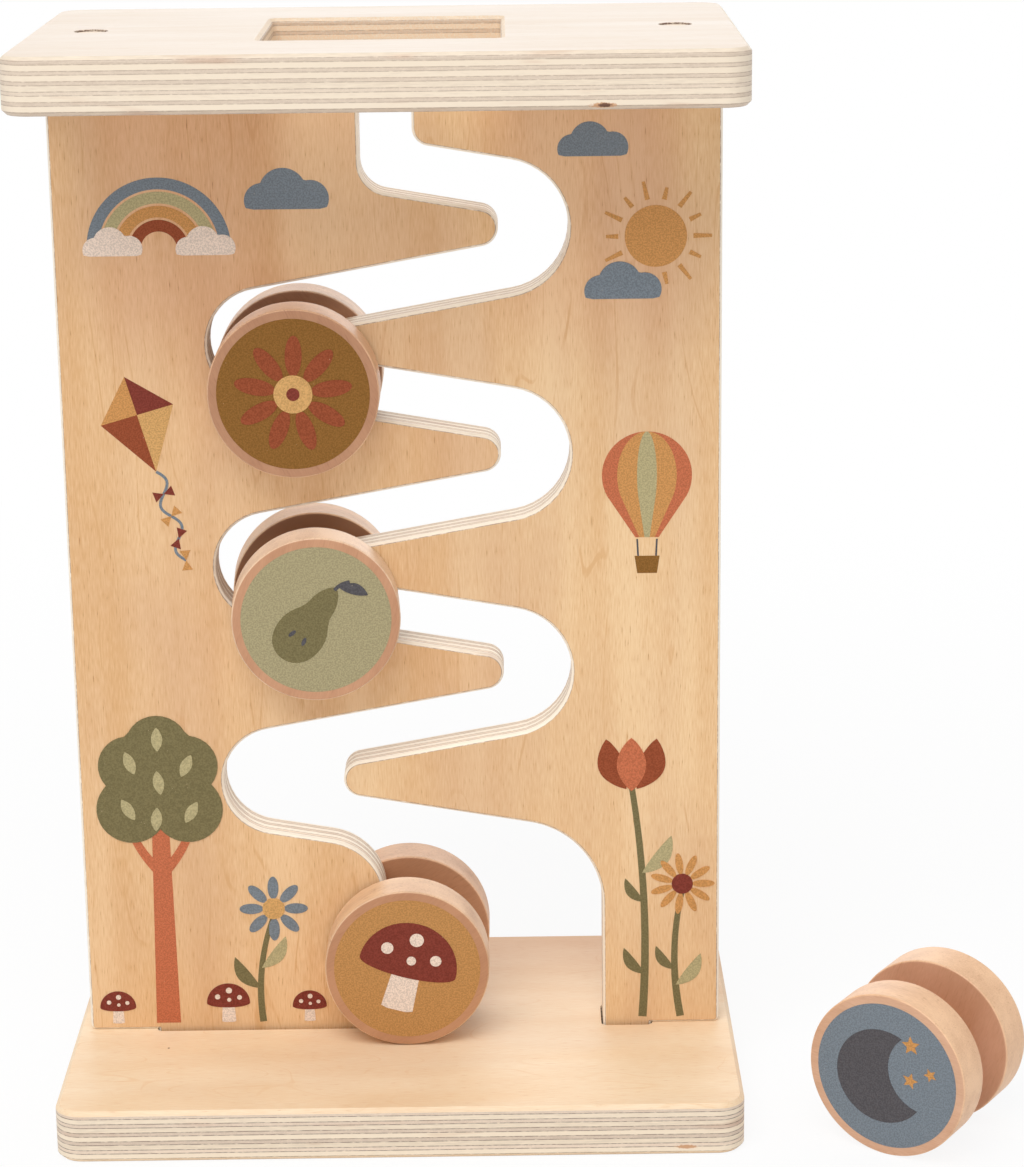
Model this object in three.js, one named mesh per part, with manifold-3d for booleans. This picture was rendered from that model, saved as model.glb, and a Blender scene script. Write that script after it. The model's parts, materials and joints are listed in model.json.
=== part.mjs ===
// Wooden maze toy: a plywood tower with a zigzag track cut through its upright, and four spool rollers.
// Millimetres, +Z up. X runs across the tower, its front faces -Y, and the origin is the middle of the
// base's underside. A roller's axle runs along Y inside the track, with a disc on each side of the panels.

import * as THREE from 'three';
import { mergeVertices } from 'three/addons/utils/BufferGeometryUtils.js';
import Module from 'manifold-3d';

const wasm = await Module();
wasm.setup();

// Base and top boards
const boardWidth = 190;
const boardDepth = 122;
const boardThickness = 15;
const boardCornerRadius = 7.5;
const boardEdgeEase = 1.2;

// Drop-in chute through the top board
const chuteWidth = 63;
const chuteDepth = 56;
const chuteCornerRadius = 1.6;

// Panels, and the tenons at their feet
const panelThickness = 12;
const panelSetback = 3.9;
const panelEdgeEase = 0.7;
const legWidth = 33.5;
const tenonDepth = 8;
const tenonShoulder = 19.6;
const shoulderCornerRadius = 1.5;
const tenonClearance = 0.3;
const mortiseEndGap = 0.5;
const mortiseSideGap = 1.4;
const mortiseCornerRadius = 1.8;

// Track: drops are vertical, from the middle of one ramp to the next, and reaches run from the tower's middle
const trackWidth = 14.5;
const trackAngle = 10;
const turnCount = 3;
const rightTurnDrop = 34.1;
const leftTurnDrop = 29.1;
const rightTurnReach = 49.3;
const leftTurnReach = 50;
const leftFingerReach = 30.1;
const rightFingerReach = 15.8;
const entryDrop = 21.6;
const entryFloorRadius = 8.6;
const entryCeilingRadius = 5;
const exitHeight = 61.3;
const exitWallReach = 4.8;
const exitShoulderRadius = 18;
const exitCornerRadius = 25;

// Screws and the wooden plugs that cover their heads
const screwInset = 12.6;
const screwLength = 32;
const screwShankRadius = 2;
const screwTipLength = 4;
const screwHeadRadius = 3.8;
const screwHeadHeight = 2.6;
const counterboreDepth = 8;
const plugRadius = 4.2;
const plugRecess = 0.45;
const seatClearance = 0.3;

// Rollers
const discRadius = 23.35;
const discThickness = 12;
const discEdgeEase = 0.9;
const discBlindFace = 4;
const axlePlay = 2.5;
const axleEndChamfer = 0.6;
const runningClearance = 0.2;
const rollerSidePlay = 1.7;
const rollerSeatGap = 0.3;
const upperRollerX = -25.9;
const middleRollerX = -22.6;
const middleRollerAngle = 3.3;
const looseRollerRight = 48.8;
const looseRollerBehind = 15.5;
const looseRollerAngle = -33.2;

// Facets of round forms
const panelArcSteps = 20;
const boardArcSteps = 8;
const rollerFacets = 40;
const fastenerFacets = 16;

// Sizes that follow from those above
const angle = THREE.MathUtils.degToRad(trackAngle);
const slope = Math.tan(angle);
const trackHalf = trackWidth / 2;
const trackHalfUpright = trackHalf / Math.cos(angle);
const trackPitch = rightTurnDrop + leftTurnDrop;
const panelHalfWidth = boardWidth / 2 - panelSetback;
const panelHalf = panelThickness / 2;
const panelTop = rampHeight(0) + entryDrop;
const tenonBottom = boardThickness - tenonDepth;
const tenonOuterEnd = panelHalfWidth - tenonShoulder;
const legInnerEdge = panelHalfWidth - legWidth;
const towerHeight = panelTop + boardThickness;
const screwX = panelHalfWidth - screwInset;
const axleRadius = trackHalf - axlePlay / 2;
const discInnerFace = panelHalf + rollerSidePlay;
const discOuterFace = discInnerFace + discThickness;

const birchFace = { color: 0xf3e0c6, roughness: 0.55, metalness: 0 };
const birchPanel = { color: 0xe6bf8e, roughness: 0.55, metalness: 0 };
const beech = { color: 0xdda986, roughness: 0.5, metalness: 0 };
const zincSteel = { color: 0xb9bcc0, roughness: 0.35, metalness: 1 };

// Height of the middle of a right-going ramp where it crosses the tower's middle
function rampHeight(index) {
  return boardThickness + exitHeight + (turnCount - index) * trackPitch;
}

// Solids and cuts
function solidOf(geometry) {
  const bare = geometry.clone();
  bare.deleteAttribute('normal');
  bare.deleteAttribute('uv');
  const merged = mergeVertices(bare, 1e-4);
  const vertProperties = new Float32Array(merged.attributes.position.array);
  const triVerts = new Uint32Array(merged.index.array);
  return new wasm.Manifold(new wasm.Mesh({ numProp: 3, vertProperties, triVerts }));
}

function geometryOf(solid) {
  const { vertProperties, triVerts } = solid.getMesh();
  const geometry = new THREE.BufferGeometry();
  geometry.setAttribute('position', new THREE.BufferAttribute(vertProperties, 3));
  geometry.setIndex(new THREE.BufferAttribute(triVerts, 1));
  geometry.computeVertexNormals();
  return geometry;
}

function cut(geometry, tools) {
  const solid = tools.reduce((rest, tool) => rest.subtract(solidOf(tool)), solidOf(geometry));
  return geometryOf(solid);
}

function boxBetween(low, high) {
  const size = high.map((value, i) => value - low[i]);
  const middle = high.map((value, i) => (value + low[i]) / 2);
  return new THREE.BoxGeometry(...size).translate(...middle);
}

// A closed outline from corners given as [x, y, fillet radius]
function roundedShape(corners) {
  const shape = new THREE.Shape();
  corners.forEach(([x, y, radius], i) => {
    if (radius === 0) {
      if (i === 0) shape.moveTo(x, y);
      else shape.lineTo(x, y);
      return;
    }
    const corner = new THREE.Vector2(x, y);
    const before = new THREE.Vector2(...corners.at(i - 1).slice(0, 2));
    const after = new THREE.Vector2(...corners[(i + 1) % corners.length].slice(0, 2));
    const toBefore = before.sub(corner).normalize();
    const toAfter = after.sub(corner).normalize();
    const halfAngle = Math.acos(toBefore.dot(toAfter)) / 2;
    const tangent = radius / Math.tan(halfAngle);
    const inward = toBefore.clone().add(toAfter).normalize();
    const centre = inward.multiplyScalar(radius / Math.sin(halfAngle)).add(corner);
    const start = toBefore.clone().multiplyScalar(tangent).add(corner).sub(centre);
    const end = toAfter.clone().multiplyScalar(tangent).add(corner).sub(centre);
    const clockwise = toBefore.cross(toAfter) > 0;
    shape.absarc(centre.x, centre.y, radius, start.angle(), end.angle(), clockwise);
  });
  return shape;
}

function rectangle(width, depth, radius) {
  const x = width / 2;
  const y = depth / 2;
  return roundedShape([[-x, -y, radius], [x, -y, radius], [x, y, radius], [-x, y, radius]]);
}

// A plate from Z 0 to its thickness, with its outline eased; an arc gets two steps for each curve segment
function easedPlate(shape, thickness, ease, arcSteps) {
  const settings = {
    depth: thickness - 2 * ease,
    curveSegments: arcSteps / 2,
    bevelThickness: ease,
    bevelSize: ease,
    bevelOffset: -ease,
    bevelSegments: 1,
  };
  return new THREE.ExtrudeGeometry(shape, settings).translate(0, 0, ease);
}

// A turned piece round Y, from a profile of [radius, Y] that starts and ends on the axis and runs upwards
function turned(profile, facets) {
  const points = profile.map(([radius, y]) => new THREE.Vector2(radius, y));
  return new THREE.LatheGeometry(points, facets);
}

function mesh(name, geometry, finish) {
  const made = new THREE.Mesh(geometry, new THREE.MeshStandardMaterial(finish));
  made.name = name;
  return made;
}

// Fasteners: modelled head up along Z, with the board's outer face at Z 0, then put on a board
const fastenerPlaces = [
  { name: 'top_left', x: -screwX, z: towerHeight, flip: 0 },
  { name: 'top_right', x: screwX, z: towerHeight, flip: 0 },
  { name: 'base_left', x: -screwX, z: 0, flip: Math.PI },
  { name: 'base_right', x: screwX, z: 0, flip: Math.PI },
];

function screwGeometry() {
  const headTop = screwHeadHeight - counterboreDepth;
  const tip = -counterboreDepth - screwLength;
  const profile = [
    [0, tip],
    [screwShankRadius, tip + screwTipLength],
    [screwShankRadius, -counterboreDepth],
    [screwHeadRadius, -counterboreDepth],
    [screwHeadRadius, headTop],
    [0, headTop],
  ];
  return turned(profile, fastenerFacets).rotateX(Math.PI / 2);
}

function plugGeometry() {
  const low = screwHeadHeight - counterboreDepth + seatClearance;
  const profile = [[0, low], [plugRadius, low], [plugRadius, -plugRecess], [0, -plugRecess]];
  return turned(profile, fastenerFacets).rotateX(Math.PI / 2);
}

function screwHole(place) {
  const shankHole = screwShankRadius + seatClearance;
  const counterbore = plugRadius + seatClearance;
  const bottom = -counterboreDepth - screwLength - seatClearance;
  const profile = [
    [0, bottom],
    [shankHole, bottom],
    [shankHole, -counterboreDepth],
    [counterbore, -counterboreDepth],
    [counterbore, boardEdgeEase],
    [0, boardEdgeEase],
  ];
  const tool = turned(profile, fastenerFacets).rotateX(Math.PI / 2);
  return tool.rotateX(place.flip).translate(place.x, 0, place.z);
}

function holesFor(word) {
  return fastenerPlaces.filter(({ name }) => name.includes(word)).map(screwHole);
}

function fasteners() {
  const group = new THREE.Group();
  fastenerPlaces.forEach(({ name, x, z, flip }) => {
    const stack = new THREE.Group();
    stack.position.set(x, 0, z);
    stack.rotation.x = flip;
    stack.add(mesh(`${name}_screw`, screwGeometry(), zincSteel));
    stack.add(mesh(`${name}_plug`, plugGeometry(), birchFace));
    group.add(stack);
  });
  return group;
}

// Boards
function mortise(innerEnd, side) {
  const outer = side * (tenonOuterEnd + tenonClearance);
  const inner = innerEnd - side * mortiseEndGap;
  const floor = tenonBottom - tenonClearance;
  const width = panelThickness + 2 * mortiseSideGap;
  const outline = rectangle(Math.abs(outer - inner), width, mortiseCornerRadius);
  const depth = boardThickness + boardEdgeEase - floor;
  const settings = { depth, curveSegments: boardArcSteps / 2, bevelEnabled: false };
  return new THREE.ExtrudeGeometry(outline, settings).translate((outer + inner) / 2, 0, floor);
}

function baseBoard() {
  const outline = rectangle(boardWidth, boardDepth, boardCornerRadius);
  const plate = easedPlate(outline, boardThickness, boardEdgeEase, boardArcSteps);
  const mortises = [mortise(-exitWallReach, -1), mortise(legInnerEdge, 1)];
  return mesh('base_board', cut(plate, [...mortises, ...holesFor('base')]), birchFace);
}

function topBoard() {
  const outline = rectangle(boardWidth, boardDepth, boardCornerRadius);
  outline.holes.push(rectangle(chuteWidth, chuteDepth, chuteCornerRadius));
  const plate = easedPlate(outline, boardThickness, boardEdgeEase, boardArcSteps).translate(0, 0, panelTop);
  return mesh('top_board', cut(plate, holesFor('top')), birchFace);
}

// Fillet radius at a corner whose sides lean by the track's angle, so that the round reaches that far
function roundTo(reach, cornerX) {
  return (cornerX - reach) / (1 / Math.sin(angle) - 1);
}

// Where the ramps' floors and ceilings meet: the outer corners of the turns and the points of the fingers
const rightTurnCorner = (rightTurnDrop / 2 + trackHalfUpright) / slope;
const leftFingerPoint = (rightTurnDrop / 2 - trackHalfUpright) / slope;
const leftTurnCorner = (leftTurnDrop / 2 + trackHalfUpright) / slope;
const rightFingerPoint = (leftTurnDrop / 2 - trackHalfUpright) / slope;
const turns = Array.from({ length: turnCount }, (_, i) => ({
  rightZ: rampHeight(i) - rightTurnDrop / 2,
  leftZ: rampHeight(i) - rightTurnDrop - leftTurnDrop / 2,
}));
const endTrim = 2 * panelEdgeEase;

// A panel's foot, from the track outwards: a tenon for the base, then a shoulder that stands on the base
function foot(innerEnd, side) {
  return [
    [innerEnd, tenonBottom, 0],
    [side * tenonOuterEnd, tenonBottom, 0],
    [side * tenonOuterEnd, boardThickness, 0],
    [side * panelHalfWidth, boardThickness, shoulderCornerRadius],
  ];
}

function leftPanelShape() {
  const floor = -trackHalfUpright;
  const fingers = turns.flatMap(({ rightZ, leftZ }) => [
    [leftFingerPoint, rightZ, roundTo(leftFingerReach, leftFingerPoint)],
    [-leftTurnCorner, leftZ, roundTo(leftTurnReach, leftTurnCorner)],
  ]);
  return roundedShape([
    [-panelHalfWidth, panelTop + endTrim, 0],
    [-trackHalf, panelTop + endTrim, 0],
    [-trackHalf, rampHeight(0) + floor + slope * trackHalf, entryFloorRadius],
    ...fingers,
    [-exitWallReach, rampHeight(turnCount) + floor + slope * exitWallReach, exitShoulderRadius],
    ...foot(-exitWallReach, -1),
  ]);
}

function rightPanelShape() {
  const ceiling = trackHalfUpright;
  const fingers = turns.flatMap(({ rightZ, leftZ }) => [
    [rightTurnCorner, rightZ, roundTo(rightTurnReach, rightTurnCorner)],
    [-rightFingerPoint, leftZ, roundTo(rightFingerReach, rightFingerPoint)],
  ]);
  return roundedShape([
    [panelHalfWidth, panelTop + endTrim, 0],
    [trackHalf, panelTop + endTrim, 0],
    [trackHalf, rampHeight(0) + ceiling - slope * trackHalf, entryCeilingRadius],
    ...fingers,
    [legInnerEdge, rampHeight(turnCount) + ceiling - slope * legInnerEdge, exitCornerRadius],
    ...foot(legInnerEdge, 1),
  ]);
}

// A panel's top end is cut square, because the top board lies on it
function panel(name, shape) {
  const plate = easedPlate(shape, panelThickness, panelEdgeEase, panelArcSteps);
  plate.translate(0, 0, -panelHalf).rotateX(Math.PI / 2);
  const above = boxBetween([-boardWidth, -boardDepth, panelTop], [boardWidth, boardDepth, towerHeight]);
  return mesh(name, cut(plate, [above, ...holesFor(name.split('_')[0])]), birchPanel);
}

// Rollers: turned round Y, with blind bores so that the discs' outer faces stay whole
function discProfile() {
  const boreRadius = axleRadius + runningClearance;
  const boreEnd = discOuterFace - discBlindFace;
  return [
    [0, boreEnd],
    [boreRadius, boreEnd],
    [boreRadius, discInnerFace],
    [discRadius - discEdgeEase, discInnerFace],
    [discRadius, discInnerFace + discEdgeEase],
    [discRadius, discOuterFace - discEdgeEase],
    [discRadius - discEdgeEase, discOuterFace],
    [0, discOuterFace],
  ];
}

function axleProfile() {
  const end = discOuterFace - discBlindFace - seatClearance;
  return [
    [0, -end],
    [axleRadius - axleEndChamfer, -end],
    [axleRadius, axleEndChamfer - end],
    [axleRadius, end - axleEndChamfer],
    [axleRadius - axleEndChamfer, end],
    [0, end],
  ];
}

// A roller whose axle is turned from Y about the upright by some degrees
function roller(name, place, turn) {
  const rear = discProfile();
  const front = rear.map(([radius, y]) => [radius, -y]).reverse();
  const group = new THREE.Group();
  group.add(mesh(`${name}_axle`, turned(axleProfile(), rollerFacets), beech));
  group.add(mesh(`${name}_front_disc`, turned(front, rollerFacets), beech));
  group.add(mesh(`${name}_rear_disc`, turned(rear, rollerFacets), beech));
  group.position.set(...place);
  group.rotation.z = THREE.MathUtils.degToRad(turn);
  return group;
}

// Middle of an axle that lies on the floor of a right-going ramp
function placeOnRamp(index, x) {
  const lift = (axleRadius + rollerSeatGap) / Math.cos(angle);
  return [x, 0, rampHeight(index) - trackHalfUpright - slope * x + lift];
}

function rollers() {
  const group = new THREE.Group();
  const lowerX = axleRadius + rollerSeatGap - exitWallReach;
  const lowerZ = boardThickness + discRadius + rollerSeatGap;
  const looseX = boardWidth / 2 + looseRollerRight;
  const looseY = looseRollerBehind - boardDepth / 2;
  group.add(roller('upper', placeOnRamp(1, upperRollerX), 0));
  group.add(roller('middle', placeOnRamp(2, middleRollerX), middleRollerAngle));
  group.add(roller('lower', [lowerX, 0, lowerZ], 0));
  group.add(roller('loose', [looseX, looseY, discRadius], looseRollerAngle));
  return group;
}

const tower = new THREE.Group();
tower.add(baseBoard());
tower.add(topBoard());
tower.add(panel('left_panel', leftPanelShape()));
tower.add(panel('right_panel', rightPanelShape()));
tower.add(fasteners());

const toy = new THREE.Group();
toy.add(tower);
toy.add(rollers());

export default toy;
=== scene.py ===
# Looks of the wooden maze toy: plywood, beech, printed pictures, light and camera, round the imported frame.
# Lengths are millimetres in the named values, apart from the stage's, and metres in the meshes.
import json
import math

import bmesh
import bpy
from mathutils import Matrix, Vector


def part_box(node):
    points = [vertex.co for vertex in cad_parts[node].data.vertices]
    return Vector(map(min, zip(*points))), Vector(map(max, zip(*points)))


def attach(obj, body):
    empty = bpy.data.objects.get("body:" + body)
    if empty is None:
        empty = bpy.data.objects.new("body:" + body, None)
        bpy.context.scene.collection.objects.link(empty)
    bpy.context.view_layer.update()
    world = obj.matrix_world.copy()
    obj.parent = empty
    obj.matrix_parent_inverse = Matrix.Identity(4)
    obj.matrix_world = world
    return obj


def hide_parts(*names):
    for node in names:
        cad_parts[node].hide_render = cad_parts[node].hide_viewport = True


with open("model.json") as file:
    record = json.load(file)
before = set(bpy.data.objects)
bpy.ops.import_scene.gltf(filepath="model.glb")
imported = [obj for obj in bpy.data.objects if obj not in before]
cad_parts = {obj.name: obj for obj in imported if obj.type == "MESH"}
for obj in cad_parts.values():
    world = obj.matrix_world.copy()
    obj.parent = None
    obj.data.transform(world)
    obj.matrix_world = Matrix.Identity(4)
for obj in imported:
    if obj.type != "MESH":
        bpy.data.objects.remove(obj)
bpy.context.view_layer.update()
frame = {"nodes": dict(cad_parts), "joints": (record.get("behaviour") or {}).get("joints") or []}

MM = 0.001
TURN = 2 * math.pi
X, Y, Z = range(3)
ROLLERS = ("upper", "middle", "lower", "loose")

# A wheel's half turn at each end of its axle, and the direction outwards on each side
ENDS = {"front": math.pi, "rear": 0}
SIDES = {"left": -1, "right": 1}

# Rounding of the boards and panels
weld_gap = 0.001
flat_angle = math.radians(1)
sharp_angle = math.radians(25)
board_round = 0.4
panel_round = 0.22
round_steps = 3

# Rollers and plugs, beyond what the frame gives
wheel_edge = 0.6
wheel_edge_steps = 6
wheel_steps = 128
bore_clearance = 0.2
bore_end_gap = 0.3
dowel_chamfer = 0.6
plug_edge = 0.3
plug_steps = 48
plug_grain_turn = 20
roller_grain_turn = 40
wheel_grain_turn = 65

# Veneer: how far its fibres and its blush are drawn out along the grain, and the waves of its growth lines
fibre_stretch = 12
blush_stretch = 3
growth_waves = 130

# Tinted walls: half the chute with a margin, the margin round a plug hole, and the strength of each tint
chute_reach = (36, 32)
chute_share = 0.35
# The plug holes' walls are darkened as painted shade in their recesses
hole_margin = 0.6
hole_shade_share = 0.9

# Painted shade under the top board, where the panels' tone deepens: upwards, inwards from the side edge and
# outwards from the middle
shade_heights = (200, 238)
shade_outer = (88, 70)
shade_inner = (15, 40)

# Prints, and the height at which the printed plants stand
film_thickness = 0.05
plant_foot = 17
disc_print_radius = 20.8
disc_print_steps = 96

# Camera of the photograph, whose frame is 1024 by 1167 pixels
photo_width = 1024
photo_height = 1167
camera_place = (32.03, -841.55, 389.09)
camera_angles = (75.104, 0.669, -0.383)
focal_pixels = 3108.54
optical_centre = (519.48, 519.37)
sensor = 36

# Stage, in metres: a white floor that keeps the object's shadow, how far the camera sees, and a lamp in
# front and behind
floor_reach = 12
shadow_reach = (0.25, 0.7)
shadow_share = 0.11
room_light = 0.57
far_clip = 100
LAMPS = {
    "rear_lamp": {"place": (0.1, 1.4, 0.5), "aim": (0, 0, 0.15), "size": 1.0, "power": 4},
    "front_lamp": {"place": (-0.3, -1.1, 1.7), "aim": (0, 0, 0.15), "size": 1.3, "power": 21},
}


def srgb(code):
    """A hex colour as linear red, green, blue and alpha."""
    values = [int(code[i:i + 2], 16) / 255 for i in (1, 3, 5)]
    return tuple(v / 12.92 if v <= 0.04045 else ((v + 0.055) / 1.055) ** 2.4 for v in values) + (1,)


def palette(*codes):
    return [srgb(code) for code in codes]


class Graph:
    """A node tree that is put together call by call. Positions in it are millimetres."""

    def __init__(self, tree):
        self.tree = tree

    def feed(self, socket, value):
        if isinstance(value, bpy.types.NodeSocket):
            self.tree.links.new(value, socket)
        else:
            socket.default_value = value

    def node(self, kind, inputs=(), **settings):
        made = self.tree.nodes.new("ShaderNode" + kind)
        for key, value in settings.items():
            setattr(made, key, value)
        for key, value in dict(inputs).items():
            self.feed(made.inputs[key], value)
        return made

    def position(self):
        place = self.node("TexCoord").outputs["Object"]
        return self.stretched(place, (1 / MM, 1 / MM, 1 / MM))

    def stretched(self, vector, scale):
        return self.node("VectorMath", {0: vector, 1: scale}, operation="MULTIPLY").outputs[0]

    def grained(self, vector, axis, stretch):
        """A place drawn out along the grain's axis."""
        return self.stretched(vector, tuple(1 / stretch if i == axis else 1 for i in range(3)))

    def layered(self, vector, axis, share):
        """A place whose other two axes are reduced to a share."""
        return self.stretched(vector, tuple(1 if i == axis else share for i in range(3)))

    def turned(self, vector, angles):
        return self.node("VectorRotate", {0: vector, 4: angles}, rotation_type="EULER_XYZ").outputs[0]

    def axis(self, vector, index):
        return self.node("SeparateXYZ", {0: vector}).outputs[index]

    def math(self, operation, a, b=0.0):
        return self.node("Math", {0: a, 1: b}, operation=operation).outputs[0]

    def sum(self, terms, start, clamp=True):
        """A start value plus each value times its weight, held between 0 and 1 if clamped."""
        total = start
        for value, weight in terms:
            made = self.node("Math", {0: value, 1: weight, 2: total}, operation="MULTIPLY_ADD")
            total = made.outputs[0]
        made.use_clamp = clamp
        return total

    def noise(self, vector, scale, detail=2.0, seed=0.0):
        inputs = {"Vector": vector, "W": seed, "Scale": scale, "Detail": detail}
        return self.node("TexNoise", inputs, noise_dimensions="4D").outputs[0]

    def step(self, value, start, end):
        """A smooth step from 0 at the start to 1 at the end."""
        inputs = {0: value, 1: start, 2: end}
        return self.node("MapRange", inputs, interpolation_type="SMOOTHSTEP").outputs[0]

    def mix(self, factor, a, b, blend="MIX"):
        inputs = {0: factor, 6: a, 7: b}
        return self.node("Mix", inputs, data_type="RGBA", blend_type=blend).outputs[2]

    def bump(self, height, distance, strength):
        inputs = {"Height": height, "Distance": distance * MM, "Strength": strength}
        return self.node("Bump", inputs).outputs[0]


class Finish(Graph):
    """A material with one principled shader."""

    def __init__(self, name):
        self.material = bpy.data.materials.new(name)
        self.material.use_nodes = True
        super().__init__(self.material.node_tree)
        self.shader = self.tree.nodes["Principled BSDF"]

    def surface(self, **inputs):
        for key, value in inputs.items():
            self.feed(self.shader.inputs[key.replace("_", " ").title()], value)
        return self.material


# Plywood: veneer on the faces, plies and glue lines on the edges
def veneer(g, place, grain_axis, look, colours, seed):
    """Colour and pores of a veneer face. Its look is its stretch, dashes, growth lines and blush."""
    stretch, dashes, lines, blush = look
    light, dark, pore = colours
    tone = g.noise(g.grained(place, grain_axis, 2 * stretch), scale=0.09, detail=5, seed=seed)
    texture = g.noise(g.grained(place, grain_axis, fibre_stretch), scale=3, detail=3, seed=seed)
    figure = g.noise(g.grained(place, grain_axis, stretch), scale=0.03, detail=2, seed=seed + 3)
    crest = g.step(g.math("SINE", g.math("MULTIPLY", figure, growth_waves)), start=0.96, end=1)
    patches = g.step(g.noise(place, scale=0.06, detail=2, seed=seed + 9), start=0.45, end=0.65)
    growth = g.math("MULTIPLY", crest, patches)
    shade = g.sum([(tone, 2), (texture, dashes), (growth, lines)], start=-0.55 - 0.5 * dashes)
    pores = g.step(texture, start=0.63, end=0.75)
    colour = g.mix(shade, light, dark)
    rosy = g.noise(g.grained(place, grain_axis, blush_stretch), scale=0.03, detail=2, seed=seed + 6)
    rosy = g.math("MULTIPLY", g.step(rosy, start=0.42, end=0.68), blush)
    colour = g.mix(rosy, colour, STAIN)
    return g.mix(g.math("MULTIPLY", pores, 0.5 * dashes), colour, pore), pores


def plies(g, place, ply_axis, stack, colours, seed):
    """Colour of an edge of plies in pairs, one along the edge and one across it, with glue lines between."""
    low, pair, long_share, line_share = stack
    long_ply, cross_ply, glue = colours
    along = g.layered(place, ply_axis, share=0.12)
    wobble = g.noise(along, scale=0.25, detail=2, seed=seed)
    height = g.math("DIVIDE", g.math("SUBTRACT", g.axis(place, ply_axis), low), pair)
    height = g.sum([(height, 1), (wobble, 0.08)], start=-0.04, clamp=False)
    part = g.math("FRACT", height)
    crosswise = g.step(part, start=long_share - 0.02, end=long_share + 0.02)
    number = g.sum([(g.math("FLOOR", height), 2), (crosswise, 1)], start=seed, clamp=False)
    own = g.node("TexWhiteNoise", {"W": number}, noise_dimensions="1D").outputs[0]
    fibres = g.noise(along, scale=2.4, detail=3, seed=seed + 7)
    ends = g.math("MULTIPLY", g.noise(place, scale=3.6, detail=2, seed=seed + 1), crosswise)
    tone = g.sum([(own, 0.2), (fibres, 0.4), (ends, 0.3)], start=-0.3)
    colour = g.mix(tone, g.mix(crosswise, long_ply, cross_ply), glue)
    stains = g.step(g.noise(along, scale=0.3, detail=2, seed=seed + 5), start=0.6, end=0.75)
    colour = g.mix(g.math("MULTIPLY", stains, 0.35), colour, STAIN)
    from_middle = g.math("ABSOLUTE", g.math("SUBTRACT", part, long_share))
    from_line = g.math("MINIMUM", g.math("PINGPONG", height, 0.5), from_middle)
    gaps = g.layered(place, ply_axis, share=0.5)
    broken = g.step(g.noise(gaps, scale=1.6, detail=3, seed=seed + 5), start=0.2, end=0.6)
    near_line = g.step(from_line, start=0.062, end=0.02)
    line = g.math("MULTIPLY", near_line, g.math("MULTIPLY", broken, line_share))
    return g.mix(line, colour, glue)


def cut_edges(g, place, colour, cuts):
    """Tints the edges inside cuts, each given by its middle, its half size, a colour and its share."""
    specks = g.step(g.noise(place, scale=2.6, detail=3), start=0.35, end=0.6)
    for middle, half_size, tint, share in cuts:
        inside = g.math("MULTIPLY", specks, share)
        for axis in range(3):
            off = g.math("ABSOLUTE", g.math("SUBTRACT", g.axis(place, axis), middle[axis]))
            inside = g.math("MULTIPLY", g.math("LESS_THAN", off, half_size[axis]), inside)
        colour = g.mix(inside, colour, tint, "MULTIPLY")
    return colour


def knotted(g, place, colour, knots):
    """Adds knots, each given by its middle, its half size and its colour."""
    ragged = g.noise(place, scale=1.8, detail=3, seed=2)
    for middle, half_size, tint in knots:
        off = g.node("VectorMath", {0: place, 1: middle}, operation="SUBTRACT").outputs[0]
        off = g.stretched(off, [1 / size for size in half_size])
        away = g.node("VectorMath", {0: off}, operation="LENGTH").outputs["Value"]
        away = g.sum([(away, 1), (ragged, 1)], start=-0.5, clamp=False)
        colour = g.mix(g.step(away, start=1, end=0.6), colour, tint)
    return colour


def with_painted_shade(g, place, colour, painted_shade):
    """Paints shade on a face, deepening its tone slowly along one or more axes, each between two places."""
    ramps, tint = painted_shade
    share = 1.0
    for axis, start, end in ramps:
        share = g.math("MULTIPLY", g.step(g.axis(place, axis), start, end), share)
    return g.mix(share, colour, tint, "MULTIPLY")


def plywood(
    name, ply_axis, grain_axis, look, stack, face, edge, seed,
    cuts=(), knots=(), ease=(0.9, 0.98), painted_shade=None,
):
    """Veneer on the faces and plies on the edges, which begin where the surface turns away by the ease."""
    g = Finish(name)
    place = g.position()
    face_colour, pores = veneer(g, place, grain_axis, look, face, seed)
    # Painted shade: the face's tone deepens where shade falls on it.
    if painted_shade:
        face_colour = with_painted_shade(g, place, face_colour, painted_shade)
    edge_colour = cut_edges(g, place, plies(g, place, ply_axis, stack, edge, seed), cuts)
    facing = g.math("ABSOLUTE", g.axis(g.node("TexCoord").outputs["Normal"], ply_axis))
    colour = knotted(g, place, g.mix(g.step(facing, *ease), edge_colour, face_colour), knots)
    relief = g.math("SUBTRACT", g.noise(place, scale=0.8, detail=3, seed=seed), pores)
    normal = g.bump(relief, distance=0.02, strength=0.35)
    return g.surface(base_color=colour, roughness=0.52, normal=normal)


# Beech: flecks along the grain, which lies across the roller's axis, and faces that are darker than the rim.
# A wheel's own Y points outwards.
def beech(name, rim, others, grain_turn, seed):
    face, inner, fleck = others
    g = Finish(name)
    place = g.turned(g.position(), (0, math.radians(grain_turn), 0))
    tone = g.noise(g.grained(place, X, 5), scale=0.13, detail=3, seed=seed)
    flecks = g.noise(g.grained(place, X, 7), scale=2.6, detail=2, seed=seed)
    rays = g.noise(g.stretched(place, (0.25, 1, 2.2)), scale=1.1, detail=1, seed=seed + 2)
    rays = g.step(rays, start=0.62, end=0.72)
    outward = g.axis(g.node("TexCoord").outputs["Normal"], Y)
    colour = g.mix(g.step(outward, start=0.75, end=0.97), rim, face)
    # Painted shade: the inner faces, which look into the gap between the discs, take their own darker colour
    colour = g.mix(g.step(outward, start=-0.75, end=-0.97), colour, inner)
    shade = g.sum([(tone, 1.1), (flecks, 0.6), (rays, 0.2)], start=-0.67)
    colour = g.mix(shade, colour, fleck)
    normal = g.bump(flecks, distance=0.02, strength=0.15)
    return g.surface(base_color=colour, roughness=0.45, normal=normal)


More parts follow.
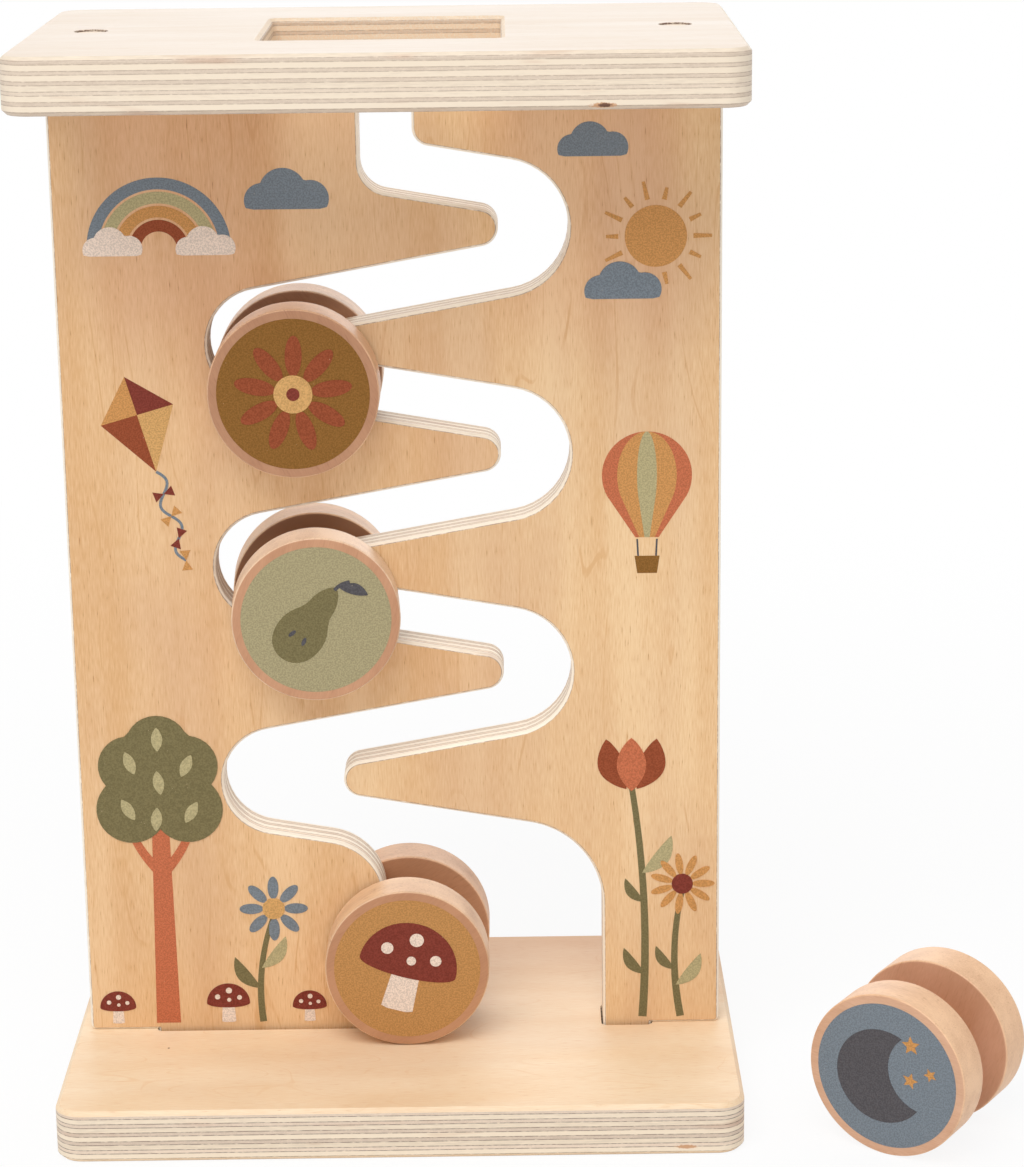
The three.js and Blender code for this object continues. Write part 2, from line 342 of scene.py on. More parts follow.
# Ink: a thin pebbled coat with tiny bright specks
def ink(name, code):
    g = Finish(name)
    place = g.position()
    pebble = g.noise(place, scale=2.3, detail=3)
    specks = g.step(g.noise(place, scale=2.2, detail=1, seed=4), start=0.77, end=0.81)
    body = srgb(code)
    light = tuple(min(1, c * 1.15 + 0.006) for c in body[:3]) + (1,)
    dark = tuple(c * 0.87 for c in body[:3]) + (1,)
    colour = g.mix(g.step(pebble, start=0.38, end=0.62), dark, light)
    colour = g.mix(g.math("MULTIPLY", specks, 0.6), colour, INK_SPECK)
    g.shader.inputs["Specular IOR Level"].default_value = 0.15
    normal = g.bump(pebble, distance=0.06, strength=0.5)
    return g.surface(base_color=colour, roughness=0.6, normal=normal)


def zinc():
    g = Finish("zinc")
    swirl = g.noise(g.position(), scale=1.5, detail=4)
    colour = g.mix(swirl, *ZINC)
    roughness = g.sum([(swirl, 0.3)], start=0.2, clamp=False)
    return g.surface(base_color=colour, metallic=1, roughness=roughness)


# Colours: light, dark and pore of a veneer; long ply, cross ply and glue of an edge; outer face, inner face
# and fleck of beech, where a darker inner face is painted shade between the discs, and the rims of the front
# and rear wheels, where the lighter rear rims are painted light from behind
BASE_FACE = palette("#fbe4c4", "#f3d2a9", "#dcb084")
TOP_FACE = palette("#e8dcd0", "#decbb6", "#cba983")
BASE_EDGE = palette("#f4e3cb", "#eedac5", "#5f4538")
TOP_EDGE = palette("#f0e0ca", "#e9d8c4", "#80604c")
PANEL_FACE = {
    "left": palette("#efc89a", "#dcac77", "#b68250"),
    "right": palette("#f3d0a2", "#e1b37f", "#bc8957"),
}
PANEL_EDGE = palette("#fff3e0", "#f3dfc6", "#8a6247")
STAIN = srgb("#c79a7c")
# Tints of painted shade: the base towards its rear, behind the tower, and the panels under the top board
BASE_SHADE_TINT = srgb("#fae8df")
PANEL_SHADE_TINT = srgb("#f6ebea")
CHUTE_TAN = srgb("#ffd9a6")
# Painted shade on the walls of the plug holes' recesses
HOLE_SHADE = srgb("#6e4028")
KNOT = srgb("#6b4632")
KNOT_TAN = srgb("#cf9f78")
# The plugs' dark sides and rounded edges are painted shade in their recesses
PLUG_RIM_SHADE = srgb("#855a40")
PLUG_WOOD = palette("#e6d2ba", "#e6d2ba", "#c2a07c")
# Beech of each roller; the middle roller's dark inner face is painted shade in the gap between its discs
BEECH = {
    "upper": palette("#bd8b68", "#bc8c6c", "#986244"),
    "middle": palette("#cc9874", "#a17355", "#a8724f"),
    "lower": palette("#c28d68", "#c6926e", "#9c6643"),
    "loose": palette("#dcae8e", "#d7a484", "#b47d55"),
}
# The rear rims of the upper and middle rollers are lighter as painted light from behind
RIMS = {
    "front": {"upper": "#eec29b", "middle": "#f6d7b6", "lower": "#eec8a2", "loose": "#f6caa1"},
    "rear": {"upper": "#ffe1c3", "middle": "#ffdbb5", "lower": "#f2c69f", "loose": "#f6caa1"},
}
INKS = {
    "olive_brown": "#885d27", "rust": "#92482a", "sand": "#cea064", "sage": "#b2a67c", "moss": "#a59a76",
    "olive": "#776d49", "mustard": "#c89054", "ochre": "#ba8850", "dark_red": "#7e362a",
    "cream": "#e6d2c2", "slate": "#778088", "charcoal": "#545154", "terracotta": "#c06c49",
}
INK_SPECK = srgb("#ead2ae")
ZINC = palette("#a9adb2", "#d3d5d6")
WHITE = (1, 1, 1, 1)
FLOOR_GREY = (0.93, 0.93, 0.93, 1)
inks = {name: ink(name + "_ink", code) for name, code in INKS.items()}

# Plies of each sheet: where the lowest pair starts, how thick a pair is, the share of a pair that its long
# ply takes, and the strength of the glue lines
board_low, board_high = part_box("base_board")
panel_low, panel_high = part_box("left_panel")
board_thickness = (board_high.z - board_low.z) / MM
panel_thickness = (panel_high.y - panel_low.y) / MM
top_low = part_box("top_board")[0].z / MM
base_stack = (board_low.z / MM + 0.082 * board_thickness, 0.171 * board_thickness, 0.58, 0.8)
top_stack = (top_low + 0.073 * board_thickness, 0.172 * board_thickness, 0.62, 0.5)
panel_stack = (panel_low.y / MM, 2 / 7 * panel_thickness, 0.58, 0.8)

# Knots, each by its middle, its half size and its colour
board_front = board_low.y / MM
top_knots = [
    ((57.3, board_front, 288.7), (4, 2, 0.9), KNOT_TAN),
    ((57.6, board_front, 288.7), (2, 2, 0.7), KNOT),
]
base_knots = [
    ((78.5, board_front, 2.6), (3.4, 2, 0.7), KNOT_TAN),
    ((-67.3, -19.2, 15), (0.4, 0.4, 1), KNOT),
]


def plug_hole_shade(board):
    """The walls of a board's plug holes, darkened as painted shade in their recesses."""
    cuts = []
    for side in SIDES:
        low, high = (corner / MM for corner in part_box(f"{board}_{side}_plug"))
        middle = (low + high) / 2
        reach = (high.x - low.x) / 2 + hole_margin
        cuts.append((middle, (reach, reach, board_thickness), HOLE_SHADE, hole_shade_share))
    return cuts


# Veneers' stretch, dashes, growth lines and blush
base_look = (2.5, 1.8, 0.5, 0.15)
top_look = (4, 1, 0.2, 0)
panel_look = (7, 2.2, 0.7, 0.3)
# Painted shade on the walls of the base's plug holes
base_hole_shade = plug_hole_shade("base")
base_ease = (0.45, 0.75)
# Painted shade: the base's face deepens towards its rear, behind the tower
base_painted_shade = ([(Y, 0, board_high.y / MM)], BASE_SHADE_TINT)
chute_cut = ((0, 0, top_low), (*chute_reach, 2 * board_thickness), CHUTE_TAN, chute_share)
# The chute's tan walls, and painted shade on the walls of the top's plug holes
top_cuts = [chute_cut, *plug_hole_shade("top")]
base_finish = plywood(
    "base_ply", Z, X, base_look, base_stack, BASE_FACE, BASE_EDGE, seed=1.3,
    cuts=base_hole_shade, knots=base_knots, ease=base_ease, painted_shade=base_painted_shade,
)
top_finish = plywood(
    "top_ply", Z, X, top_look, top_stack, TOP_FACE, TOP_EDGE, seed=5.1,
    cuts=top_cuts, knots=top_knots,
)
panel_finish = {}
for seed, (side, out) in enumerate(SIDES.items(), 3):
    # Painted shade: the panels' tone deepens under the top board
    ramps = [(Z, *shade_heights)]
    ramps += [(X, start * out, end * out) for start, end in (shade_outer, shade_inner)]
    panel_finish[side] = plywood(
        f"{side}_panel_ply", Y, Z, panel_look, panel_stack, PANEL_FACE[side], PANEL_EDGE, seed,
        painted_shade=(ramps, PANEL_SHADE_TINT),
    )
# Painted shade: the plugs' rims are dark where they sit in their recesses
plug_finish = beech("plug_wood", PLUG_RIM_SHADE, PLUG_WOOD, plug_grain_turn, seed=6)
zinc_finish = zinc()


# Pieces
def piece(name, mesh, body, finishes, nodes=(), matrix=Matrix.Identity(4)):
    """Puts a new mesh in the scene and on its body."""
    made = bpy.data.objects.new(name, mesh)
    bpy.context.scene.collection.objects.link(made)
    made.matrix_world = matrix
    for finish in finishes:
        mesh.materials.append(finish)
    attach(made, body)
    if nodes:
        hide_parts(*nodes)
    return made


def mesh_from(name, bm):
    bmesh.ops.recalc_face_normals(bm, faces=bm.faces)
    mesh = bpy.data.meshes.new(name)
    bm.to_mesh(mesh)
    bm.free()
    mesh.shade_smooth()
    return mesh


def keep_flats(made):
    """Shades rounded edges smoothly and leaves the large faces flat."""
    weighted = made.modifiers.new("flat_faces", "WEIGHTED_NORMAL")
    weighted.keep_sharp = True


def softened(name, node, round_width, finish):
    """A copy of a node of the tower, with its edges rounded."""
    bm = bmesh.new()
    bm.from_mesh(frame["nodes"][node].data)
    bmesh.ops.remove_doubles(bm, verts=bm.verts, dist=weld_gap * MM)
    bmesh.ops.dissolve_limit(bm, angle_limit=flat_angle, verts=bm.verts, edges=bm.edges)
    sharp = [e for e in bm.edges if e.calc_face_angle(0) > sharp_angle]
    bmesh.ops.bevel(
        bm, geom=sharp, offset=round_width * MM, segments=round_steps, profile=0.5,
        affect="EDGES", clamp_overlap=True,
    )
    keep_flats(piece(name, mesh_from(name, bm), "tower", [finish], [node]))


def quarter(radius, along, edge, start):
    """A quarter round of a turned profile, from an angle in quarter turns."""
    angles = [(start + i / wheel_edge_steps) * TURN / 4 for i in range(wheel_edge_steps + 1)]
    return [(radius + edge * math.cos(a), along + edge * math.sin(a)) for a in angles]


def turned(name, profile, steps):
    """A mesh turned round Y, from (radius, Y) points that start and end on the axis."""
    bm = bmesh.new()
    rings = []
    for radius, along in profile:
        if radius == 0:
            rings.append([bm.verts.new((0, along * MM, 0))])
            continue
        angles = [i * TURN / steps for i in range(steps)]
        ring = [(radius * math.cos(a) * MM, along * MM, radius * math.sin(a) * MM) for a in angles]
        rings.append([bm.verts.new(place) for place in ring])
    for first, second in zip(rings, rings[1:]):
        for i in range(steps):
            j = (i + 1) % steps
            corners = [first[i % len(first)], first[j % len(first)]]
            corners += [second[j % len(second)], second[i % len(second)]]
            bm.faces.new(list(dict.fromkeys(corners)))
    return mesh_from(name, bm)


softened("base_plywood", "base_board", board_round, base_finish)
softened("top_plywood", "top_board", board_round, top_finish)
for side in SIDES:
    softened(f"{side}_panel_plywood", f"{side}_panel", panel_round, panel_finish[side])


# Plugs and screws
for board in ("top", "base"):
    for side in SIDES:
        node = f"{board}_{side}_plug"
        low, high = ([c / MM for c in corner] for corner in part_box(node))
        radius = (high[X] - low[X]) / 2
        half = (high[Z] - low[Z]) / 2
        ends = [(0, -half), *quarter(radius - plug_edge, plug_edge - half, plug_edge, start=-1)]
        ends += [*quarter(radius - plug_edge, half - plug_edge, plug_edge, start=0), (0, half)]
        middle = [(a + b) / 2 * MM for a, b in zip(low, high)]
        upright = Matrix.Translation(middle) @ Matrix.Rotation(TURN / 4, 4, "X")
        name = f"{board}_{side}_wood_plug"
        mesh = turned(name, ends, plug_steps)
        made = piece(name, mesh, "tower", [plug_finish], [node], upright)
        keep_flats(made)
        frame["nodes"][f"{board}_{side}_screw"].data.materials[0] = zinc_finish


# Rollers
def middle_of(corners):
    return (corners[0] + corners[1]) / 2


joints = {joint["name"]: joint for joint in frame["joints"]}
axle_low, axle_high = (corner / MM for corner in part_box("upper_axle"))
wheel_low, wheel_high = (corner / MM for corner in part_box("upper_rear_disc"))
axle_radius = (axle_high.x - axle_low.x) / 2
axle_end = axle_high.y
wheel_radius = (wheel_high.x - wheel_low.x) / 2
wheel_inner = wheel_low.y
wheel_outer = wheel_high.y


def wheel_profile():
    bore = axle_radius + bore_clearance
    bore_end = axle_end + bore_end_gap
    shoulder = wheel_radius - wheel_edge
    return [
        (0, bore_end), (bore, bore_end), (bore, wheel_inner),
        *quarter(shoulder, wheel_inner + wheel_edge, wheel_edge, start=-1),
        *quarter(shoulder, wheel_outer - wheel_edge, wheel_edge, start=0),
        (0, wheel_outer),
    ]


def dowel_profile():
    shoulder = axle_radius - dowel_chamfer
    inset = axle_end - dowel_chamfer
    return [
        (0, -axle_end), (shoulder, -axle_end), (axle_radius, -inset),
        (axle_radius, inset), (shoulder, axle_end), (0, axle_end),
    ]


def roller_matrix(name):
    """The place of a roller, with its own Y along its axle."""
    spin = joints[f"{name}_spin"]
    turn = -math.atan2(spin["axis"][X], spin["axis"][Y])
    return Matrix.Translation(middle_of(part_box(f"{name}_axle"))) @ Matrix.Rotation(turn, 4, "Z")


def roller(name, grain_turn):
    matrix = roller_matrix(name)
    finishes = {}
    for end in ENDS:
        rim = srgb(RIMS[end][name])
        grain_turn += wheel_grain_turn
        finishes[end] = beech(f"{name}_{end}_beech", rim, BEECH[name], grain_turn, seed=grain_turn)
    title = f"{name}_dowel"
    mesh = turned(title, dowel_profile(), wheel_steps // 2)
    nodes = [f"{name}_axle"]
    axle = piece(title, mesh, f"{name}_roller_axle", [finishes["rear"]], nodes, matrix)
    keep_flats(axle)
    for end, half_turn in ENDS.items():
        title = f"{name}_{end}_wheel"
        place = matrix @ Matrix.Rotation(half_turn, 4, "Z")
        mesh = turned(title, wheel_profile(), wheel_steps)
        nodes = [f"{name}_{end}_disc"]
        wheel = piece(title, mesh, f"{name}_roller_discs", [finishes[end]], nodes, place)
        keep_flats(wheel)


for index, name in enumerate(ROLLERS):
    roller(name, roller_grain_turn * index)


# Outlines of the printed pictures, as (across, up) points in millimetres
def arc(x, z, radius, start, end, steps=24):
    """Points on an arc between two angles in degrees."""
    angles = [math.radians(start + (end - start) * i / steps) for i in range(steps + 1)]
    return [(x + radius * math.cos(a), z + radius * math.sin(a)) for a in angles]


def circle(x, z, radius, steps=40):
    return arc(x, z, radius, start=0, end=360, steps=steps)[:-1]


def placed(outline, x, z, turn=0, size=1):
    """An outline turned by an angle in degrees, scaled and moved."""
    c = math.cos(math.radians(turn)) * size
    s = math.sin(math.radians(turn)) * size
    return [(x + c * u - s * v, z + s * u + c * v) for u, v in outline]


def ellipse(x, z, wide, high, turn=0):
    return placed([(u * wide / 2, v * high / 2) for u, v in circle(0, 0, 1)], x, z, turn=turn)


def bend(start, end, sag, steps=16):
    """A curve between two points that bows sideways by a sag."""
    (x0, z0), (x1, z1) = start, end
    length = math.hypot(x1 - x0, z1 - z0)
    side = ((z0 - z1) / length, (x1 - x0) / length)
    shares = [i / steps for i in range(steps + 1)]
    bows = [(t, 4 * sag * t * (1 - t)) for t in shares]
    return [(x0 + (x1 - x0) * t + side[0] * b, z0 + (z1 - z0) * t + side[1] * b) for t, b in bows]


def stroke(path, width, end_width=None):
    """A band along a path, which may narrow towards its end."""
    last = len(path) - 1
    left, right = [], []
    for i, (x, z) in enumerate(path):
        (x0, z0), (x1, z1) = path[max(i - 1, 0)], path[min(i + 1, last)]
        length = math.hypot(x1 - x0, z1 - z0)
        half = (width + ((end_width or width) - width) * i / last) / 2
        across = ((z0 - z1) / length * half, (x1 - x0) / length * half)
        left.append((x + across[0], z + across[1]))
        right.append((x - across[0], z - across[1]))
    return left + right[::-1]


def leaf(root, tip, width, sag=0, steps=14):
    """A pointed leaf between two points."""
    spine = bend(root, tip, sag=sag, steps=steps)
    widths = [width / 2 * math.sin(math.pi * i / steps) ** 0.8 for i in range(steps + 1)]
    length = math.hypot(tip[0] - root[0], tip[1] - root[1])
    side = ((root[1] - tip[1]) / length, (tip[0] - root[0]) / length)
    left = [(x + side[0] * w, z + side[1] * w) for (x, z), w in zip(spine, widths)]
    right = [(x - side[0] * w, z - side[1] * w) for (x, z), w in zip(spine, widths)]
    return left + right[-2:0:-1]


def puffs(x, z, rounds, floor=None, steps=72):
    """The outer line of overlapping rounds round a point, with a level foot if a floor is given."""
    outline = []
    for i in range(steps):
        angle = i * TURN / steps
        u, v = math.cos(angle), math.sin(angle)
        reach = 0
        for cx, cz, radius in rounds:
            along = cx * u + cz * v
            inside = radius ** 2 - cx ** 2 - cz ** 2 + along ** 2
            if inside > 0:
                reach = max(reach, along + math.sqrt(inside))
        if floor is not None and v * reach < floor:
            reach = floor / v
        outline.append((x + u * reach, z + v * reach))
    return outline


# Motifs: lists of (ink, layer, outline), where shapes that overlap lie in different layers
def sun(x, z, radius):
    rays = 14
    shapes = [("mustard", 0, circle(x, z, radius))]
    for i in range(rays):
        length = 0.4 * radius if i % 2 else 0.6 * radius
        ray = stroke([(1.2 * radius, 0), (1.2 * radius + length, 0)], width=1.4, end_width=0.9)
        shapes.append(("mustard", 0, placed(ray, x, z, turn=i * 360 / rays)))
    return shapes


def cloud(x, z, width, colour, layer=0):
    rounds = [(-0.28, 0, 0.2), (-0.04, 0.1, 0.27), (0.27, 0.02, 0.21)]
    rounds = [tuple(value * width for value in puff) for puff in rounds]
    return [(colour, layer, puffs(x, z, rounds, floor=-0.1 * width))]


def rainbow(x, z, radius):
    """Four bands over two clouds."""
    band = 0.16 * radius
    shapes = []
    for i, colour in enumerate(("slate", "sage", "mustard", "rust")):
        path = arc(x, z, radius - (i + 0.5) * 1.2 * band, start=0, end=180, steps=40)
        shapes.append((colour, 0, stroke(path, width=band)))
    foot = radius - 2.3 * band
    for side in (-1, 1):
        shapes += cloud(x + side * foot, z, width=0.85 * radius, colour="cream", layer=1)
    return shapes


def balloon(x, z, radius):
    angles = [math.radians(4 + 6 * i) for i in range(20)]
    side = [(math.sin(a), math.cos(a)) for a in angles] + [(0.26, -1.42)]
    shapes = []
    colours = ("terracotta", "mustard", "sage", "mustard", "terracotta")
    cuts = (-1, -0.66, -0.22, 0.22, 0.66, 1)
    for colour, left, right in zip(colours, cuts, cuts[1:]):
        gore = [(right * u, v) for u, v in side] + [(left * u, v) for u, v in side[::-1]]
        shapes.append((colour, 0, placed(gore, x, z, size=radius)))
    for edge in (-1, 1):
        rope = placed([(edge * 0.22, -1.46), (edge * 0.2, -1.85)], x, z, size=radius)
        shapes.append(("charcoal", 0, stroke(rope, width=0.5)))
    basket = [(-0.28, -1.85), (0.28, -1.85), (0.22, -2.25), (-0.22, -2.25)]
    shapes.append(("olive_brown", 0, placed(basket, x, z, size=radius)))
    return shapes


def stalk(foot, head, sag, width, leaves):
    """A stalk with leaves, each given by its share of the way up, its side and its length."""
    path = bend(foot, head, sag=sag)
    shapes = [("olive", 0, stroke(path, width=width, end_width=0.7 * width))]
    for share, side, length in leaves:
        root = path[round(share * (len(path) - 1))]
        tip = (root[0] + side * 0.6 * length, root[1] + 0.8 * length)
        colour = "sage" if side > 0 else "olive"
        shapes.append((colour, 1, leaf(root, tip, width=0.32 * length, sag=-side * 0.12 * length)))
    return shapes


def tulip(x, z, size):
    shapes = []
    for side in (-1, 1):
        petal = leaf((0.1 * side, 0), (0.48 * side, 1), width=0.5, sag=-0.1 * side)
        shapes.append(("rust", 1 if side < 0 else 2, placed(petal, x, z, size=size)))
    shapes.append(("terracotta", 3, placed(leaf((0, -0.04), (0, 1.02), width=0.56), x, z, size=size)))
    return shapes


def daisy(x, z, radius, petals, colour, heart):
    shapes = []
    for i in range(petals):
        turn = i * 360 / petals
        middle = placed([(0.64 * radius, 0)], x, z, turn=turn)[0]
        petal = ellipse(*middle, wide=0.68 * radius, high=2.5 * radius / petals, turn=turn)
        shapes.append((colour, 2, petal))
    shapes.append((heart, 3, circle(x, z, 0.32 * radius)))
    return shapes


def toadstool(x, z, size):
    """A toadstool whose foot stands at a point."""
    stem = [(-0.14, 0.55), (-0.17, 0.02), (-0.1, 0), (0.1, 0), (0.17, 0.02), (0.14, 0.55)]
    cap = [(0.52 * u, 0.5 + 0.5 * v) for u, v in arc(0, 0, 1, start=0, end=180, steps=28)]
    cap += [(0.52 * u, 0.5 + 0.12 * v) for u, v in arc(0, 0, 1, start=180, end=360, steps=20)][1:-1]
    dots = ((-0.26, 0.66, 0.065), (0.02, 0.82, 0.075), (0.27, 0.64, 0.06), (0.02, 0.58, 0.05))
    shapes = [("cream", 1, placed(stem, x, z, size=size))]
    shapes.append(("dark_red", 2, placed(cap, x, z, size=size)))
    for u, v, radius in dots:
        shapes.append(("cream", 3, circle(x + u * size, z + v * size, radius * size, steps=20)))
    return shapes


def kite(x, z, wide, high, turn):
    top = (0, 0.4 * high)
    foot = (0, -0.6 * high)
    left = (-wide / 2, 0)
    right = (wide / 2, 0)
    sails = (("dark_red", right, top), ("mustard", top, left), ("rust", left, foot), ("sand", foot, right))
    shapes = [(colour, 0, placed([(0, 0), a, b], x, z, turn=turn)) for colour, a, b in sails]
    steps = 40
    tail = []
    for i in range(steps + 1):
        share = i / steps
        sway = 0.07 * high * math.sin(2 * TURN * share)
        tail.append((foot[0] + sway, foot[1] - 0.95 * high * share))
    shapes.append(("slate", 0, placed(stroke(tail, width=0.8), x, z, turn=turn)))
    bow = [(0, 0), (2.8, 1.5), (2.8, -1.5)]
    for i, colour in enumerate(("dark_red", "mustard", "dark_red", "mustard")):
        knot = placed([tail[(i + 1) * steps // 4]], x, z, turn=turn)[0]
        for half_turn in (0, 180):
            shapes.append((colour, 1, placed(bow, *knot, turn=20 + 25 * i + half_turn)))
    return shapes


def pear(x, z, size, colours):
    body, shade = colours
    outline = []
    for u, v in circle(0, 0, 1, steps=56):
        waist = 1 - 0.24 * math.exp(-((v - 0.34) / 0.28) ** 2)
        outline.append((u * (0.52 - 0.22 * v) * waist, v))
    stem = stroke(bend((0, 0.95), (0.16, 1.3), sag=0.04, steps=8), width=0.08)
    blade = leaf((0.06, 1.06), (0.66, 1.3), width=0.26, sag=0.06)
    shapes = [(body, 1, outline), (shade, 2, stem), (shade, 3, blade)]
    shapes += [(shade, 2, ellipse(side * 0.16, -0.4, 0.09, 0.2, turn=side * 14)) for side in (-1, 1)]
    return [(colour, layer, placed(points, x, z, size=size)) for colour, layer, points in shapes]


def tree(x, foot, height):
    crown = foot + 0.78 * height
    shapes = [("terracotta", 0, stroke([(x, foot), (x, crown)], width=7, end_width=4.5))]
    for layer, side in ((1, -1), (2, 1)):
        branch = bend((x, foot + 0.5 * height), (x + side * 10, foot + 0.7 * height), sag=-side * 1.5)
        shapes.append(("terracotta", layer, stroke(branch, width=3, end_width=1.8)))
    rounds = [(-8, -6, 10), (8, -6, 10), (-8, 7, 9), (8, 7, 9), (0, 13, 9), (0, 0, 12)]
    shapes.append(("olive", 3, puffs(x, crown, rounds)))
    leaves = ((-9, -6, 30), (9, -7, -30), (-8, 8, 20), (8, 7, -25), (0, 15, 0), (0, 2, 8), (-1, -9, -5))
    for u, v, turn in leaves:
        root, tip = placed([(0, -3.6), (0, 3.6)], x + u, crown + v, turn=turn)
        shapes.append(("sage", 4, leaf(root, tip, width=3.2)))
    return shapes


def star(x, z, radius, turn):
    corners = [(radius if i % 2 == 0 else 0.45 * radius, 36 * i) for i in range(10)]
    return [placed([(reach, 0)], x, z, turn=turn + angle)[0] for reach, angle in corners]


def moon(x, z, radius):
    """A crescent between two arcs that meet at its horns."""
    horn = 50
    inner_radius = 0.86 * radius
    horn_across = radius * math.cos(math.radians(horn))
    horn_up = radius * math.sin(math.radians(horn))
    inner_angle = 180 - math.degrees(math.asin(horn_up / inner_radius))
    inner_across = horn_across - inner_radius * math.cos(math.radians(inner_angle))
    outer = arc(0, 0, radius, start=horn, end=360 - horn, steps=44)
    inner = arc(inner_across, 0, inner_radius, start=360 - inner_angle, end=inner_angle, steps=36)[1:-1]
    return placed(outer + inner, x, z)


# Films of ink on the panels and on the rollers' outer faces
def film(name, body, matrix, shapes):
    """Thin closed sheets of ink on a plane whose front is -Y, thicker where they lie over others."""
    bm = bmesh.new()
    colours = sorted({shape[0] for shape in shapes})
    for colour, layer, outline in shapes:
        depths = (0, -(layer + 1) * film_thickness * MM)
        back, front = ([bm.verts.new((x * MM, y, z * MM)) for x, z in outline] for y in depths)
        faces = [bm.faces.new(front), bm.faces.new(back)]
        for i in range(len(outline)):
            faces.append(bm.faces.new((front[i], front[i - 1], back[i - 1], back[i])))
        for face in faces:
            face.material_index = colours.index(colour)
    mesh = mesh_from(name, bm)
    mesh.shade_flat()
    piece(name, mesh, body, [inks[colour] for colour in colours], matrix=matrix)


def left_picture():
    shapes = rainbow(-62, 244, radius=20) + cloud(-27, 257, width=24, colour="slate")
    shapes += kite(-70, 198, wide=21, high=28, turn=16)
    shapes += tree(-68.5, foot=plant_foot, height=92)
    shapes += stalk((-41, plant_foot), (-37, 50), sag=2, width=2, leaves=((0.3, -1, 12), (0.5, 1, 12)))
    shapes += daisy(-37, 52, radius=10, petals=8, colour="slate", heart="sand")
    for x, size in ((-51, 12), (-27.5, 9.5), (-83, 10)):
        shapes += toadstool(x, plant_foot, size)
    return shapes


def right_picture():
    shapes = sun(73, 246, radius=8.5)
    shapes += cloud(64, 231, width=22, colour="slate", layer=1)
    shapes += cloud(56, 270, width=20, colour="slate")
    shapes += balloon(70.5, 179, radius=12.5)
    leaves = ((0.2, -1, 10), (0.62, 1, 14), (0.5, -1, 9))
    shapes += stalk((69, plant_foot), (66, 88), sag=-2, width=2.4, leaves=leaves)
    shapes += tulip(66, 87, size=15)
    shapes += stalk((80, plant_foot), (80.5, 56), sag=2, width=2.2, leaves=((0.25, 1, 12), (0.4, -1, 9)))
    shapes += daisy(80.5, 58, radius=9.5, petals=11, colour="mustard", heart="dark_red")
    return shapes


def disc_pictures():
    """The picture on each roller: a round ground with motifs, turned as the roller has rolled."""
    grounds = {"upper": "olive_brown", "middle": "moss", "lower": "ochre", "loose": "slate"}
    turns = {"upper": 8, "middle": -38, "lower": -15, "loose": 14}
    star_places = ((9.5, 8.5, 2.8, 10), (13.5, 0, 2, 30), (7, -1.5, 2.4, -8))
    stars = [("mustard", 1, star(*place)) for place in star_places]
    eye = [("dark_red", 4, circle(0, 0, 1.8, steps=20))]
    motifs = {
        "upper": daisy(0, 0, radius=16.5, petals=9, colour="rust", heart="sand") + eye,
        "middle": pear(-1, -2, size=12.5, colours=("olive", "charcoal")),
        "lower": toadstool(0, -13, size=27),
        "loose": [("charcoal", 1, moon(-1.5, 0, radius=13.5))] + stars,
    }
    pictures = {}
    for name in ROLLERS:
        ground = circle(0, 0, disc_print_radius, steps=disc_print_steps)
        shapes = [(grounds[name], 0, ground)] + motifs[name]
        pictures[name] = [
            (colour, layer, placed(points, 0, 0, turns[name]))
            for colour, layer, points in shapes
        ]
    return pictures


panel_front = Matrix.Translation((0, panel_low.y, 0))
film("left_panel_print", "tower", panel_front, left_picture())
film("right_panel_print", "tower", panel_front, right_picture())
for name, shapes in disc_pictures().items():
    outward = Matrix.Translation((0, wheel_outer * MM, 0)) @ Matrix.Rotation(math.pi, 4, "Z")
    for end, half_turn in ENDS.items():
        place = roller_matrix(name) @ Matrix.Rotation(half_turn, 4, "Z") @ outward
        film(f"{name}_{end}_print", f"{name}_roller_discs", place, shapes)


# Stage and camera
def seen(g):
    """1 for rays that show the background: to the camera, in a reflection or through glass."""
    path = g.node("LightPath").outputs
    shown = g.math("MAXIMUM", path["Is Camera Ray"], path["Is Glossy Ray"])
    return g.math("MAXIMUM", shown, path["Is Transmission Ray"])


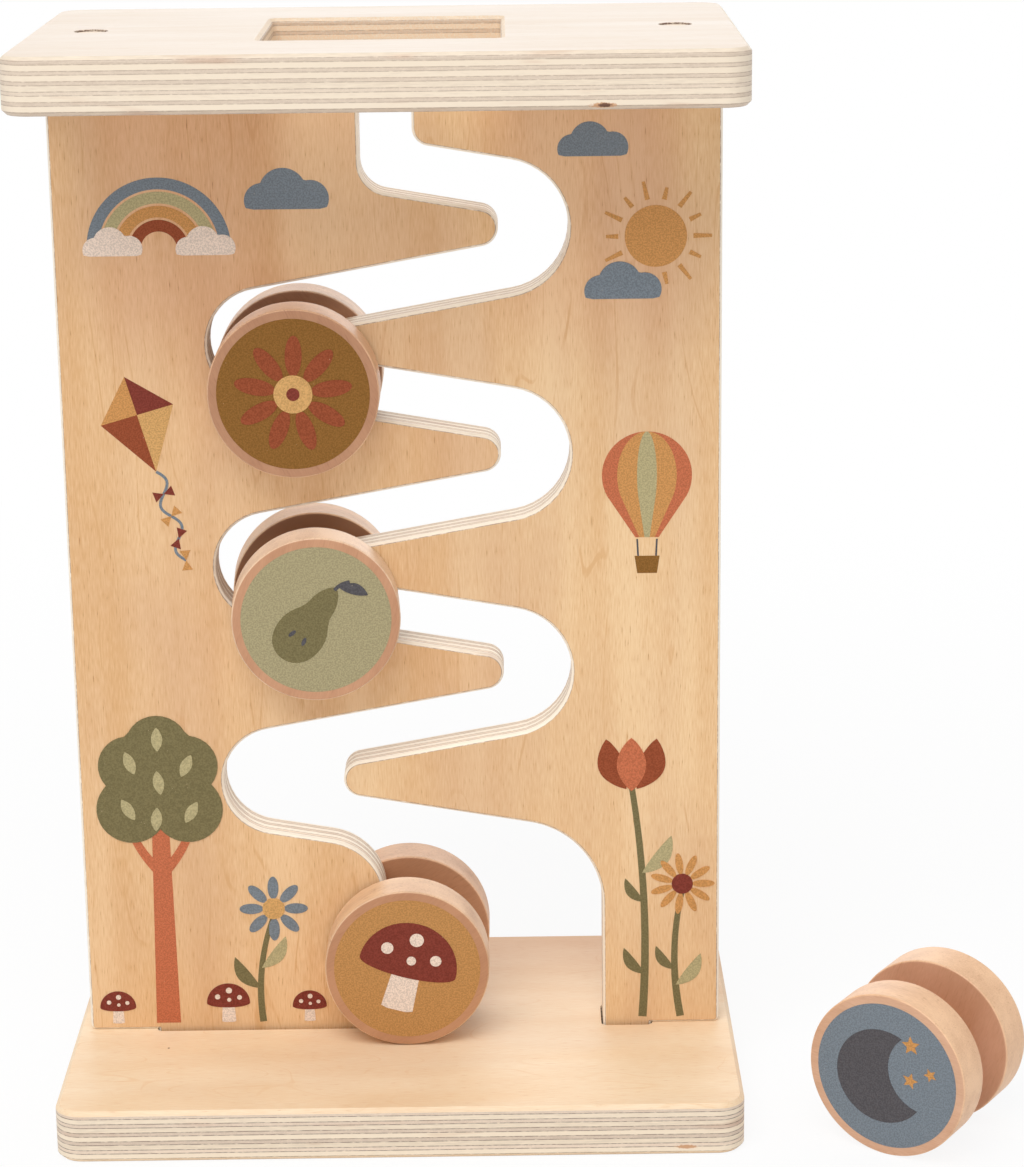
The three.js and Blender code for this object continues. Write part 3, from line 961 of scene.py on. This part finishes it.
def white_floor():
    """White where it is seen, with a share of its own shade near the object, which holds the shadow."""
    g = Finish("white_floor")
    g.surface(base_color=FLOOR_GREY, roughness=0.9)
    place = g.node("TexCoord").outputs["Object"]
    away = g.node("VectorMath", {0: place}, operation="LENGTH").outputs["Value"]
    share = g.sum([(g.step(away, *shadow_reach), shadow_share)], start=1 - shadow_share, clamp=False)
    factor = g.math("MULTIPLY", share, seen(g))
    white = g.node("Emission", {"Color": WHITE, "Strength": 1}).outputs[0]
    mixed = g.node("MixShader", {0: factor, 1: g.shader.outputs[0], 2: white}).outputs[0]
    g.feed(g.tree.nodes["Material Output"].inputs["Surface"], mixed)
    return g.material


def stage():
    bm = bmesh.new()
    bmesh.ops.create_grid(bm, x_segments=1, y_segments=1, size=floor_reach / 2)
    mesh = mesh_from("floor", bm)
    mesh.materials.append(white_floor())
    floor = bpy.data.objects.new("floor", mesh)
    bpy.context.scene.collection.objects.link(floor)
    world = bpy.data.worlds.new("studio")
    bpy.context.scene.world = world
    world.use_nodes = True
    g = Graph(world.node_tree)
    background = world.node_tree.nodes["Background"]
    background.inputs["Color"].default_value = WHITE
    strength = g.sum([(seen(g), 1 - room_light)], start=room_light, clamp=False)
    g.feed(background.inputs["Strength"], strength)


def lamps():
    for name, lamp in LAMPS.items():
        light = bpy.data.lights.new(name, "AREA")
        light.size = lamp["size"]
        light.energy = lamp["power"]
        made = bpy.data.objects.new(name, light)
        made.location = lamp["place"]
        towards = Vector(lamp["aim"]) - Vector(lamp["place"])
        made.rotation_euler = towards.to_track_quat("-Z", "Y").to_euler()
        bpy.context.scene.collection.objects.link(made)


def camera():
    lens = bpy.data.cameras.new("camera")
    lens.sensor_width = sensor
    lens.lens = focal_pixels / photo_height * sensor
    lens.shift_x = (photo_width / 2 - optical_centre[0]) / photo_height
    lens.shift_y = (optical_centre[1] - photo_height / 2) / photo_height
    lens.clip_end = far_clip
    made = bpy.data.objects.new("camera", lens)
    made.location = Vector(camera_place) * MM
    made.rotation_euler = [math.radians(a) for a in camera_angles]
    bpy.context.scene.collection.objects.link(made)
    bpy.context.scene.camera = made


stage()
lamps()
camera()
bpy.context.scene.view_settings.view_transform = "Standard"
